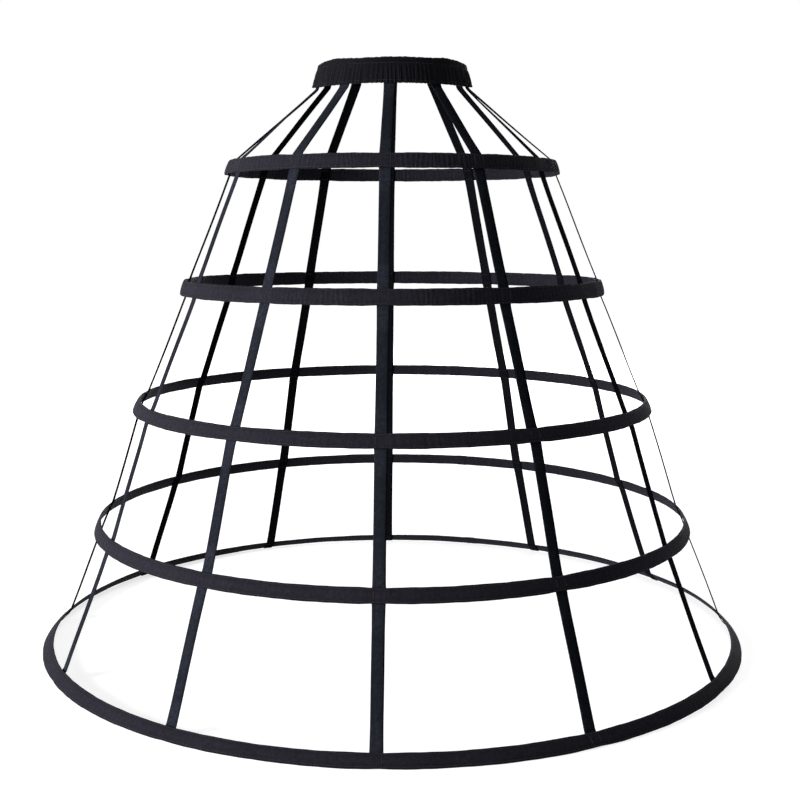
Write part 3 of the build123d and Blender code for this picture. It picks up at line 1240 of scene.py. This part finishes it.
@dataclass
class Waistband:
    """The gathered sleeve round the waist elastic, an oval that is higher at the back.

    Lengths are in metres. Distances down are from the upper edge.

    Attributes:
        half_width: Half of the oval's width outside, at the upper edge.
        half_depth: Half of its depth.
        flare: How far the lower edge stands out beyond the upper one.
        top: Height of the upper edge at the front.
        height: Height of the sleeve.
        back_rise: How much higher the back is.
        back_reach: The larger, the nearer to the back the rise begins.
        thickness: Thickness of the whole sleeve.
        lower_fold: Height of the lower edge's fold.
        upper_fold: Height of the upper edge's fold.
        fold_reach: Width of the part at each edge that is marked as a fold.
        heading: Height of the smooth heading above the gathers.
        channel_end: Where the second row of gathering stitches runs.
        gathers: Number of gathers round the band.
        gather_depth: How far a gather stands out at the lower edge.
        inner_share: Depth of the gathers inside, as a share of those outside.
        strength: Mean strength of the gathers, from 0 to 1.
        heading_share: Share of the gathers' depth that is left on the heading.
        outer_rest: How far a valley lies inside the plain outer face.
        inner_rest: The same for the inner face.
        pinch_depth: How far a row of gathering stitches draws the cloth in.
        pinch_reach: Half width of that groove.
        crest_drop: How much lower the lower edge hangs under a crest than in a valley.
        drop_reach: Height of the part that hangs so.
        ruffle: Size of the small waves of the upper edge.
        elastic: Thickness of the elastic.
        elastic_from: Upper edge of the elastic.
        elastic_width: Width of the elastic.
        elastic_play: Room for the elastic on each side.
        shoulder_drop: How far the upper edge is rubbed down at the wearer's sides.
        brow_lift: How far it stands up between the front and the sides.
        brow_place: Sine of the angle at which it stands up the most.
        brow_reach: Half width of that part, as a sine.
        columns: Steps round the band.
        face_rows: Rows of points down the outer face.
        girth_row: The row whose girth is the gathered cloth's length.
        tunnel_steps: Steps round the tunnel for the elastic.
        tunnel_rows: Rows of points on each of the tunnel's faces.
        outer_seed: Picks the gathers outside.
        inner_seed: Picks the gathers inside.
        ruffle_seed: Picks the ruffle.
    """

    half_width: float = 104.0 * MM
    half_depth: float = 90.0 * MM
    flare: float = 9.5 * MM
    top: float = 819.5 * MM
    height: float = 34.5 * MM
    back_rise: float = 24.0 * MM
    back_reach: float = 2.5
    thickness: float = 4.0 * MM
    lower_fold: float = 1.0 * MM
    upper_fold: float = 0.6 * MM
    fold_reach: float = 2.0 * MM
    heading: float = 7.0 * MM
    channel_end: float = 30.6 * MM
    gathers: int = 104
    gather_depth: float = 1.5 * MM
    inner_share: float = 0.6
    strength: float = 0.78
    heading_share: float = 0.16
    outer_rest: float = 0.25 * MM
    inner_rest: float = 0.2 * MM
    pinch_depth: float = 0.5 * MM
    pinch_reach: float = 0.8 * MM
    crest_drop: float = 0.9 * MM
    drop_reach: float = 5.0 * MM
    ruffle: float = 0.35 * MM
    elastic: float = 1.4 * MM
    elastic_from: float = 8.0 * MM
    elastic_width: float = 22.0 * MM
    elastic_play: float = 0.3 * MM
    shoulder_drop: float = 4.6 * MM
    brow_lift: float = 1.7 * MM
    brow_place: float = 0.72
    brow_reach: float = 0.16
    columns: int = 1000
    face_rows: int = 30
    girth_row: int = 12
    tunnel_steps: int = 240
    tunnel_rows: int = 6
    outer_seed: int = 41
    inner_seed: int = 77
    ruffle_seed: int = 5

    def place(self, angle: np.ndarray, inwards: np.ndarray, down: np.ndarray) -> Row:
        """A point of the band.

        In words: on an oval whose half axes grow with the distance down, moved in along its
        own normal, and raised towards the back by a power of half of one less the cosine.

        Args:
            angle: Angles in radians, from the front towards the viewer's right.
            inwards: Distances in from the outer face.
            down: Distances below the upper edge.

        Returns:
            The points, the outward directions and the directions round the band.
        """
        spread = self.flare * down / self.height
        wide, deep = self.half_width + spread, self.half_depth + spread
        level = np.zeros_like(wide * angle)
        along = unit(np.stack([wide * np.cos(angle), deep * np.sin(angle), level], -1))
        out = np.stack([along[..., 1], -along[..., 0], level], -1)
        rise = self.back_rise * ((1.0 - np.cos(angle)) / 2) ** self.back_reach
        height = self.top + rise - down
        middle = np.stack([wide * np.sin(angle), -deep * np.cos(angle), height], -1)
        return middle - out * np.asarray(inwards)[..., None], out, along

    def gather(self, angle: np.ndarray, down: np.ndarray, seed: int) -> np.ndarray:
        """Height of the gathers, from 0 in a valley to 1 on a crest.

        In words: a cosine with the number of gathers round the band, whose phase wanders
        round it and drifts a little on the way down, so that some gathers meet; one of twice
        the number and short creases ride on it; all grow from little at the heading.

        Args:
            angle: Angles in radians.
            down: Distances below the upper edge.
            seed: Picks the uneven parts.

        Returns:
            Heights from 0 to 1.
        """
        phase = self.gathers * angle + GATHER_DRIFT.at(angle, seed)
        phase = phase + GATHER_LEAN.at(angle, seed + 1) * (down / self.height - 0.5)
        main = (0.5 + 0.5 * np.cos(phase)) ** 1.2
        small = 0.5 + 0.5 * np.cos(2.0 * phase + GATHER_SPLIT.at(angle, seed + 2))
        strength = np.clip(self.strength + GATHER_STRENGTH.at(angle, seed + 3), 0.3, 1.0)
        grown = smooth(down, self.heading - 1.5 * MM, self.heading + 9.0 * MM)
        uneven = crumple(angle, down / self.height, (self.gathers // 2, 3 * self.gathers),
                         7.0, seed + 4)
        whole = np.clip((0.66 * main + 0.16 * small + 0.2 * uneven) * strength, 0.0, 1.0)
        return whole * (self.heading_share + (1.0 - self.heading_share) * grown)

    def pinch(self, down: np.ndarray) -> np.ndarray:
        """How far the two rows of gathering stitches draw the cloth in."""
        return sum(self.pinch_depth * bell(down - row, self.pinch_reach)
                   for row in (self.heading, self.channel_end))

    def outer_reach(self, crest: np.ndarray, down: np.ndarray) -> np.ndarray:
        """How far the cloth stands out beyond the plain outer face."""
        return self.gather_depth * crest - self.pinch(down) - self.outer_rest

    def top_line(self, angle: np.ndarray, down: np.ndarray) -> np.ndarray:
        """How far the upper part sinks: at the wearer's sides, less a lift in front of them.

        Args:
            angle: Angles in radians.
            down: Distances below the upper edge.

        Returns:
            Distances down in metres.
        """
        brow = bell(np.abs(np.sin(angle)) - self.brow_place, self.brow_reach)
        brow = brow * (np.cos(angle) > 0.0)
        sunk = self.shoulder_drop * np.sin(angle) ** 12 - self.brow_lift * brow
        return sunk * (1.0 - smooth(down, 0.0, self.height * 0.8))

    def sheets(self) -> list[Sheet]:
        """The sleeve's outer surface, and the tunnel for the elastic.

        In words: the section goes down the outside, round the lower edge, up the inside and
        round the upper edge; the outside is pushed out and the inside pushed in by the
        gathers, and the lower edge drops under a crest.

        Returns:
            The two closed surfaces.
        """
        flat_end = self.height - self.lower_fold
        outside = np.linspace(0.0, flat_end, self.face_rows)
        inside = outside[::-2]
        low, high = np.linspace(0.0, pi, 6)[1:-1], np.linspace(0.0, pi, 5)[1:-1]
        half = self.thickness / 2
        down = np.concatenate([outside, flat_end + self.lower_fold * np.sin(low),
                               inside, -self.upper_fold * np.sin(high)])
        deep = np.concatenate([np.zeros_like(outside), half * (1.0 - np.cos(low)),
                               np.full_like(inside, self.thickness), half * (1.0 + np.cos(high))])
        a, d = ring_grid(self.columns, down)
        facing = np.broadcast_to((1.0 - 2.0 * deep / self.thickness)[:, None], a.shape)
        crest, crest_in = (self.gather(a, np.clip(d, 0.0, None), seed)
                           for seed in (self.outer_seed, self.inner_seed))
        gathered_in = self.inner_share * self.gather_depth * crest_in
        inner_reach = gathered_in - self.pinch(d) - self.inner_rest
        out = np.clip(facing, 0.0, 1.0) * self.outer_reach(crest, d)
        inward = np.clip(-facing, 0.0, 1.0) * inner_reach
        hanging = smooth(d, self.height - self.drop_reach, self.height)
        drop = self.crest_drop * (crest - 0.4) * hanging
        ruffle = self.ruffle * BAND_RUFFLE.at(a, self.ruffle_seed) * smooth(-d, -3.0 * MM, 0.0)
        below = d + drop + ruffle + self.top_line(a, d)
        points = self.place(a, deep[:, None] - out + inward, below)[0]
        middle = self.height / 2
        fold = smooth(np.abs(d - middle), middle - self.fold_reach, middle)
        steps = np.hypot(np.diff(down, append=down[0]), np.diff(deep, append=deep[0]))
        row = points[self.girth_row]
        girth = so_far(np.linalg.norm(np.diff(row, axis=0, append=row[:1]), axis=-1))
        # Gather crests, outside and inside, take the worn colour: rubbed wear with painted highlight.
        marks = {"fold": fold, "crest": np.where(facing >= 0.0, crest, crest_in)}
        return [Sheet(points, flat_grid(girth, so_far(steps)), marks=marks), self._tunnel()]

    def _tunnel(self) -> Sheet:
        """The inside of the sleeve, a little larger than the elastic.

        Returns:
            A closed surface that faces inwards.
        """
        row = np.linspace(self.elastic_from - self.elastic_play,
                          self.elastic_from + self.elastic_width + self.elastic_play,
                          self.tunnel_rows)
        down = np.concatenate([row, row[::-1]])
        side = self.elastic / 2 + self.elastic_play
        deep = self.thickness / 2 + np.repeat([-side, side], self.tunnel_rows)
        a, d = ring_grid(self.tunnel_steps, down)
        points = self.place(a, np.broadcast_to(deep[:, None], a.shape), d)[0]
        flat = flat_grid(np.linspace(0.0, tau * self.half_width, self.tunnel_steps + 1),
                         np.linspace(0.0, 2.0 * self.elastic_width, len(down) + 1))
        return Sheet(points, flat, hollow=True)

    def seam_rows(self, stitch: Stitch) -> list[Row]:
        """The two rows of gathering stitches on the outside.

        Args:
            stitch: The stitch.

        Returns:
            Places, directions and outward directions of each row.
        """
        rows = []
        count = round(tau * sqrt((self.half_width ** 2 + self.half_depth ** 2) / 2) / stitch.pitch)
        angle = np.arange(count) * tau / count
        for down in (self.heading, self.channel_end):
            d = np.full(count, down)
            reach = self.outer_reach(self.gather(angle, d, self.outer_seed), d)
            places, out, along = self.place(angle, -reach, d)
            rows.append((places, along, out))
        return rows

    def build(self, room: Workroom, stitch: Stitch) -> list[bpy.types.Object]:
        """Make the sleeve and its stitches, and dress the elastic.

        Args:
            room: Where the finishes come from.
            stitch: The stitch.

        Returns:
            The new pieces, the sleeve first.
        """
        sheets = self.sheets()
        sleeve = build_piece("gathered_waistband", sheets, room.material(Dye.BAND_CLOTH))
        seams = stitch.build("waistband_stitching", self.seam_rows(stitch),
                             room.material(Dye.THREAD))
        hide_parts("waistband_casing")
        room.dress("waist_elastic", Dye.ELASTIC)
        return room.settle(sleeve, seams, "waist_cloth")


# Tapes


@dataclass
class Tape:
    """One ribbon, sewn inside the waistband and inside every hoop it passes.

    Lengths are in metres and angles in degrees.

    Attributes:
        node: Name of its CAD node.
        angle: Where it runs on the hoops.
        waist_angle: Where it leaves the waistband.
        band: The waistband.
        hoops: The hoops, from the top down.
        seed: Picks the uneven parts.
        width: Width of the ribbon.
        thickness: Its thickness.
        casing_gap: From a casing's inner face to the ribbon.
        waist_gap: From the sleeve's inner face to the ribbon.
        turn: How far past a casing's edge the ribbon turns.
        waist_drop: How much further past the sleeve's edge it turns.
        hem_end: How far it ends short of the hem's lower edge.
        waist_end: How far it ends short of the waistband's upper edge.
        bend: Largest length of a rounded turn on each side of its point.
        bend_share: Largest share of a run that a rounded turn takes up.
        step: Length of a step on a straight run.
        bend_steps: Points of a rounded turn.
        end_steps: Steps of the last run.
        columns: Points across each face.
        cup: How far the free ribbon is cupped.
        flare: How much wider it lies where it is sewn.
        sway: Size of the free ribbon's slow waves.
        waver: Size of the waves of its width, as a share.
        edge_thickness: Thickness at its edges, as a share.
        selvedge_rise: Extra thickness of the selvedge, as a share.
        selvedge_place: Where the selvedge is, as a share of the half width.
        selvedge_reach: Its half width, as such a share.
        seam_margin: Width left free beside a row of stitches, in all.
        waist_seams: Places of the rows on the waistband, as shares of the sewn run.
        hoop_seams: The same on a hoop.
    """

    node: str
    angle: float
    waist_angle: float
    band: Waistband
    hoops: Sequence[Hoop]
    seed: int
    width: float = 16.0 * MM
    thickness: float = 0.6 * MM
    casing_gap: float = 0.25 * MM
    waist_gap: float = 1.26 * MM
    turn: float = 1.5 * MM
    waist_drop: float = 1.3 * MM
    hem_end: float = 2.0 * MM
    waist_end: float = 9.0 * MM
    bend: float = 3.0 * MM
    bend_share: float = 0.3
    step: float = 5.0 * MM
    bend_steps: int = 7
    end_steps: int = 5
    columns: int = 9
    cup: float = 0.35 * MM
    flare: float = 0.9 * MM
    sway: float = 0.35 * MM
    waver: float = 0.006
    edge_thickness: float = 0.45
    selvedge_rise: float = 0.25
    selvedge_place: float = 0.88
    selvedge_reach: float = 0.06
    seam_margin: float = 2.4 * MM
    waist_seams: Sequence[float] = (0.12, 0.62)
    hoop_seams: Sequence[float] = (0.18, 0.80)

    def stations(self) -> tuple[np.ndarray, np.ndarray]:
        """Turning points from the waist to the hem, and the direction across the ribbon there.

        In words: two points inside the waistband, then two on the inner face of each casing,
        just above and just below it.

        Returns:
            The points and the directions.
        """
        waist, turn = radians(self.waist_angle), radians(self.angle)
        inwards = self.band.thickness + self.waist_gap + self.thickness / 2
        points, sides = [], []
        for down in (self.waist_end, self.band.height + self.turn + self.waist_drop):
            place, _, along = self.band.place(np.array(waist), np.array(inwards), np.array(down))
            points.append(place)
            sides.append(along)
        for hoop in self.hoops:
            middle, across, down = (part[0] for part in hoop.frame_at(np.array([turn])))
            inset = hoop.bed_depth(self.width / 2) + self.casing_gap + self.thickness / 2
            past = -self.hem_end if hoop is self.hoops[-1] else self.turn
            for reach in (-hoop.width / 2 - self.turn, hoop.width / 2 + past):
                points.append(middle - across * inset + down * reach)
                sides.append(np.array([cos(turn), sin(turn), 0.0]))
        return np.array(points), np.array(sides)

    def path(self) -> Row:
        """The ribbon's middle line, with its turns rounded.

        In words: near each turning point the line follows the curve that is drawn by three
        points, the turning one and two on the runs beside it; between turns it runs straight,
        and the direction across it changes evenly.

        Returns:
            The points, the directions across, and how near each point is to a casing.
        """
        points, sides = self.stations()
        runs = np.diff(points, axis=0)
        lengths = np.linalg.norm(runs, axis=-1)
        ways = runs / lengths[:, None]
        line, across, sewn = [points[0]], [sides[0]], [1.0]
        share = np.linspace(0.0, 1.0, self.bend_steps)[:, None]
        for k in range(1, len(points) - 1):
            cut = min(self.bend, self.bend_share * lengths[k - 1], self.bend_share * lengths[k])
            before, after = points[k] - ways[k - 1] * cut, points[k] + ways[k] * cut
            straight = before - line[-1]
            count = max(int(np.linalg.norm(straight) / self.step), 2)
            part = (np.arange(1, count) / count)[:, None]
            line += list(line[-1] + straight * part)
            across += list(across[-1] + (sides[k] - across[-1]) * part)
            sewn += [1.0 if k % 2 else 0.0] * (count - 1)
            line += list((1 - share) ** 2 * before + 2 * share * (1 - share) * points[k]
                         + share ** 2 * after)
            across += [sides[k]] * self.bend_steps
            sewn += [1.0] * self.bend_steps
        part = (np.arange(1, self.end_steps + 1) / self.end_steps)[:, None]
        line += list(line[-1] + (points[-1] - line[-1]) * part)
        across += [sides[-1]] * self.end_steps
        sewn += [1.0] * self.end_steps
        return np.array(line), unit(np.array(across)), np.array(sewn)

    def sheet(self) -> Sheet:
        """The ribbon's whole surface.

        In words: a flat section with round edges goes along the middle line; between hoops it
        is cupped and a little narrower, and it waves by a fraction of a millimetre.

        Returns:
            A closed surface.
        """
        line, across, sewn = self.path()
        out = unit(np.cross(across, unit(np.gradient(line, axis=0))))
        run = so_far(np.linalg.norm(np.diff(line, axis=0), axis=-1))
        soft = np.convolve(np.pad(sewn, 4, mode="edge"), np.ones(9) / 9, mode="valid")
        free = 1.0 - soft
        side = np.linspace(-1.0, 1.0, self.columns)
        face, level = np.concatenate([side, side[::-1]]), np.repeat([1.0, -1.0], self.columns)
        away = np.abs(face)
        thick = np.where(away > 0.99, self.edge_thickness, 1.0) * (
            1.0 + self.selvedge_rise * bell(away - self.selvedge_place, self.selvedge_reach))
        widths = self.width / 2 * (1.0 + self.flare / self.width * (soft - 0.6))
        widths = widths * (1.0 + self.waver * np.sin(run * 55.0 + self.seed) * free)
        bow = self.cup * free * (0.5 - np.cos(face[:, None] * pi / 2))
        sway = self.sway * free * np.sin(run * 31.0 + self.seed * 1.7)
        lift = (level * thick * self.thickness / 2)[:, None] + bow + sway
        points = close_ends(line[None] + across[None] * (face[:, None] * widths)[..., None]
                            + out[None] * lift[..., None])
        rows = so_far(np.append(np.abs(np.diff(face)) * self.width / 2, 0.0))
        flat = flat_grid(np.concatenate([[run[0]], run, [run[-1]]]), rows)
        shape = points.shape[:2]
        turns = np.concatenate([[0.0], np.abs(np.gradient(soft)), [0.0]])
        # The crest mark is painted highlight along the ribbon's middle, and makes the ribbon lighter where
        # it turns at a casing.
        crest = 0.7 * (1.0 - away[:, None] ** 2) + np.clip(turns * 6.0, 0.0, 0.5)[None]
        # The back mark is 1 on the face nearer the axis, which the finish paints darker as painted shade.
        reach = np.linalg.norm(points[..., :2], axis=-1).mean(1)
        inner = level if reach[level > 0.0].mean() < reach[level < 0.0].mean() else -level
        fold = 0.1 * smooth(away, 0.86, 1.0)
        marks = {"fold": np.broadcast_to(fold[:, None], shape), "crest": crest,
                 "back": np.broadcast_to((0.5 + 0.5 * inner)[:, None], shape)}
        return Sheet(points, flat, ring=False, marks=marks)

    def seam_rows(self, stitch: Stitch) -> list[Row]:
        """Rows across the ribbon on its inner face, where it is sewn to the waistband and hoops.

        Args:
            stitch: The stitch.

        Returns:
            Places, directions and outward directions of each row.
        """
        points, sides = self.stations()
        count = int((self.width - self.seam_margin) / stitch.pitch)
        offsets = (np.arange(count) - (count - 1) / 2) * stitch.pitch
        rows = []
        for upper in range(0, len(points), 2):
            run = points[upper + 1] - points[upper]
            side = unit(sides[upper])
            inner = unit(np.cross(side, unit(run)))
            for share in (self.hoop_seams if upper else self.waist_seams):
                middle = points[upper] + run * share + inner * (self.thickness / 2)
                rows.append((middle + side * offsets[:, None], np.broadcast_to(side, (count, 3)),
                             np.broadcast_to(inner, (count, 3))))
        return rows

    def build(self, room: Workroom, stitch: Stitch,
              sleeve: bpy.types.Object) -> list[bpy.types.Object]:
        """Make the ribbon and its stitches.

        Args:
            room: Where the finishes come from.
            stitch: The stitch.
            sleeve: The waistband's sleeve, from which the ribbon hangs; not used.

        Returns:
            The new pieces.
        """
        sheet = self.sheet()
        ribbon = build_piece(f"{self.node}_ribbon", [sheet], room.material(Dye.RIBBON))
        seams = stitch.build(f"{self.node}_stitching", self.seam_rows(stitch),
                             room.material(Dye.THREAD))
        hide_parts(self.node)
        return room.settle(ribbon, seams, "ribbon")


# Studio


@dataclass(frozen=True)
class Lamp:
    """A soft square lamp that faces the middle of the cage.

    Attributes:
        name: Its name.
        place: Where it stands, in metres.
        size: Length of its side, in metres.
        power: Its power, in watts.
        colour: Its colour.
    """

    name: str
    place: tuple[float, float, float]
    size: float
    power: float
    colour: tuple[float, float, float] = (1.0, 1.0, 1.0)


@dataclass
class Studio:
    """White floor and surround, lamps and the camera.

    Attributes:
        distance: From the cage's axis to the camera, along the floor, in metres.
        turn: How far the camera stands round to the viewer's right, in degrees.
        eye: Height of the camera, in metres.
        pitch: How far it looks down, in degrees.
        focus: Focal length in pixels of the photograph.
        axis_column: Where the cage's axis stands in the photograph, in pixels.
        film: Width of the camera's film, in millimetres.
        lamps: The lamps.
        aim: The point that the lamps face.
        ambient: How much the white surround lights the cage.
        floor_reach: Half of the floor's side, in metres.
        floor_drop: How far the floor lies under the hem, in metres.
        floor_shade: How much light the floor throws back.
        glow: Own light of the floor near the cage and far from it, as it is seen.
        glow_ends: Distances from the axis at which the one and the other holds, in metres.
    """

    distance: float = 1.8052
    turn: float = 2.07
    eye: float = 0.5934
    pitch: float = 7.948
    focus: float = 1240.0
    axis_column: float = 392.2
    film: float = 36.0
    lamps: Sequence[Lamp] = (
        Lamp("key on the left", (-3.3, -2.0, 0.85), 1.4, 400.0, (0.97, 0.98, 1.0)),
        Lamp("fill on the right", (3.0, -2.6, 1.4), 2.2, 7.0),
        Lamp("soft top", (0.2, 0.6, 3.6), 2.4, 18.0),
        Lamp("behind", (0.7, 4.0, 1.5), 1.8, 150.0),
    )
    aim: tuple[float, float, float] = (0.0, 0.0, 0.4)
    ambient: float = 0.08
    floor_reach: float = 30.0
    floor_drop: float = 0.5 * MM
    floor_shade: float = 0.45
    glow: tuple[float, float] = (0.74, 1.0)
    glow_ends: tuple[float, float] = (0.7, 1.8)

    def camera(self) -> None:
        """Stand the camera as the photograph's was."""
        data = bpy.data.cameras.new("photograph's camera")
        data.sensor_width = self.film
        data.lens = self.focus * self.film / IMAGE_SIDE
        data.shift_x = (IMAGE_SIDE / 2 - self.axis_column) / IMAGE_SIDE
        camera = add_object("camera", data)
        turn = radians(self.turn)
        camera.location = (self.distance * sin(turn), -self.distance * cos(turn), self.eye)
        camera.rotation_euler = (radians(90.0 - self.pitch), 0.0, turn)
        bpy.context.scene.camera = camera

    def light(self) -> None:
        """Hang the lamps and set the surround, which is white to the camera and in reflections."""
        for lamp in self.lamps:
            data = bpy.data.lights.new(lamp.name, "AREA")
            data.shape = "SQUARE"
            data.size, data.energy, data.color = lamp.size, lamp.power, lamp.colour
            body = add_object(lamp.name, data)
            body.location = lamp.place
            way = np.array(self.aim) - np.array(lamp.place)
            body.rotation_mode = "QUATERNION"
            body.rotation_quaternion = Vector(way).to_track_quat("-Z", "Y")
        world = bpy.data.worlds.new("surround")
        bpy.context.scene.world = world
        world.use_nodes = True
        g = Graph(world.node_tree)
        strength = g.sum("MULTIPLY_ADD", self._seen(g), 1.0 - self.ambient, self.ambient)
        g.feed(g.tree.nodes["Background"], {"Color": WHITE, "Strength": strength})

    def floor(self) -> None:
        """Lay a white floor that keeps the cage's shadow."""
        mesh = bpy.data.meshes.new("floor")
        far = self.floor_reach
        corners = [(x * far, y * far, 0.0) for x, y in ((-1, -1), (1, -1), (1, 1), (-1, 1))]
        mesh.from_pydata(corners, [], [(0, 1, 2, 3)])
        material, g, shader = new_material("white floor")
        away = g.node("ShaderNodeVectorMath", {0: g.place()}, operation="LENGTH").outputs["Value"]
        (near, wide), (dim, full) = self.glow_ends, self.glow
        level = g.node("ShaderNodeMapRange", {0: away, 1: near, 2: wide, 3: dim, 4: full},
                       interpolation_type="SMOOTHSTEP").outputs[0]
        g.feed(shader, {"Base Color": (*[self.floor_shade] * 3, 1.0), "Roughness": 0.9,
                        "Specular IOR Level": 0.1, "Emission Color": WHITE,
                        "Emission Strength": g.sum("MULTIPLY", self._seen(g), level)})
        mesh.materials.append(material)
        floor = add_object("floor", mesh)
        floor.location = (0.0, 0.0, -self.floor_drop)
        floor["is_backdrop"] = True

    @staticmethod
    def _seen(g: Graph) -> bpy.types.NodeSocket:
        """1 for rays that come from the camera, a mirror or glass, and 0 for the rest.

        Args:
            g: A graph on the tree that gets the nodes.

        Returns:
            The output socket.
        """
        path = g.node("ShaderNodeLightPath")
        seen = g.sum("MAXIMUM", path.outputs["Is Camera Ray"], path.outputs["Is Glossy Ray"])
        return g.sum("MAXIMUM", seen, path.outputs["Is Transmission Ray"])

    def build(self) -> None:
        """Set up the view transform, camera, lamps and floor."""
        bpy.context.scene.view_settings.view_transform = "Standard"
        self.camera()
        self.light()
        self.floor()


# The cage


@dataclass
class Cage:
    """The whole crinoline cage.

    Attributes:
        band: The waistband.
        side_angles: Where the side tapes run on the hoops, from the front, in degrees.
        side_waist_angles: Where they leave the waistband.
        back_angle: Where the back tape runs.
        back_waist_angle: Where it leaves the waistband.
        tack_reach: From the middle of a tape to the upright rows that box it in, in metres.
        stitch: The stitch of every seam.
    """

    band: Waistband = field(default_factory=Waistband)
    side_angles: Sequence[float] = (30.0, 60.0, 90.0, 120.0, 150.5)
    side_waist_angles: Sequence[float] = (35.0, 76.0, 97.0, 118.0, 149.0)
    back_angle: float = 183.0
    back_waist_angle: float = 182.0
    tack_reach: float = 6.2 * MM
    stitch: Stitch = Stitch()

    def tape_runs(self) -> list[tuple[str, float, float]]:
        """Where each tape runs, on both sides alike.

        Returns:
            Node name, angle on the hoops and angle on the waist of each.
        """
        runs = [("tape_front", 0.0, 0.0), ("tape_back", self.back_angle, self.back_waist_angle)]
        for number, (angle, waist) in enumerate(zip(self.side_angles, self.side_waist_angles), 1):
            runs += [(f"tape_right_{number}", angle, waist),
                     (f"tape_left_{number}", -angle, -waist)]
        return runs

    def hoops(self) -> list[Hoop]:
        """The five hoops, closely puckered above and smoother below.

        Returns:
            The hoops from the top down.
        """
        tapes = [angle for _, angle, _ in self.tape_runs()]
        # Node, then in mm and degrees: radius, height, lean, width, pucker pitch and depth,
        # slack and twist, then the seed
        sizes = (
            ("hoop_1", 234.0, 676.0, 20.0, 20.0, 5.7, 0.75, 0.30, 3.0, 3),
            ("hoop_2", 300.0, 509.0, 15.0, 21.0, 5.9, 0.70, 0.30, 3.0, 13),
            ("hoop_3", 368.5, 344.0, 27.0, 19.0, 9.0, 0.30, 0.40, 3.5, 23),
            ("hoop_4", 427.0, 174.0, 27.0, 19.0, 9.5, 0.28, 0.40, 3.5, 33),
            ("hoop_5", 500.0, 7.2, 48.0, 19.0, 10.0, 0.25, 0.40, 4.5, 43),
        )
        return [Hoop(node, radius * MM, height * MM, lean, width * MM, pitch * MM, depth * MM,
                     slack * MM, twist, seed, tapes)
                for node, radius, height, lean, width, pitch, depth, slack, twist, seed in sizes]

    def build(self) -> None:
        """Build the waistband, the hoops and the tapes, and report each piece."""
        room = Workroom()
        hoops = self.hoops()
        pieces = self.band.build(room, self.stitch)
        sleeve = pieces[0]
        for hoop in hoops:
            pieces += hoop.build(room, self.stitch, self.tack_reach)
        for seed, (node, angle, waist) in enumerate(self.tape_runs()):
            tape = Tape(node, angle, waist, self.band, hoops, seed)
            pieces += tape.build(room, self.stitch, sleeve)
        total = 0
        for piece in pieces:
            faces = sum(len(face.vertices) - 2 for face in piece.data.polygons)
            total += faces
            log.info("%s: %d triangles", piece.name, faces)
        log.info("%d pieces, %d triangles", len(pieces), total)


def keep_sizes() -> None:
    """Report the bounds of the CAD model and of the dressed one."""
    corners = {"cad": cad_bounds, "visual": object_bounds()}
    for name, pair in corners.items():
        log.info("%s bounds: %s", name, " to ".join(str([round(v, 4) for v in corner]) for corner in pair))


def main() -> None:
    """Build the cage and the studio round it."""
    logging.basicConfig(level=logging.INFO, format="%(name)s: %(message)s", stream=sys.stdout)
    Cage().build()
    Studio().build()
    keep_sizes()


if __name__ == "__main__":
    main()
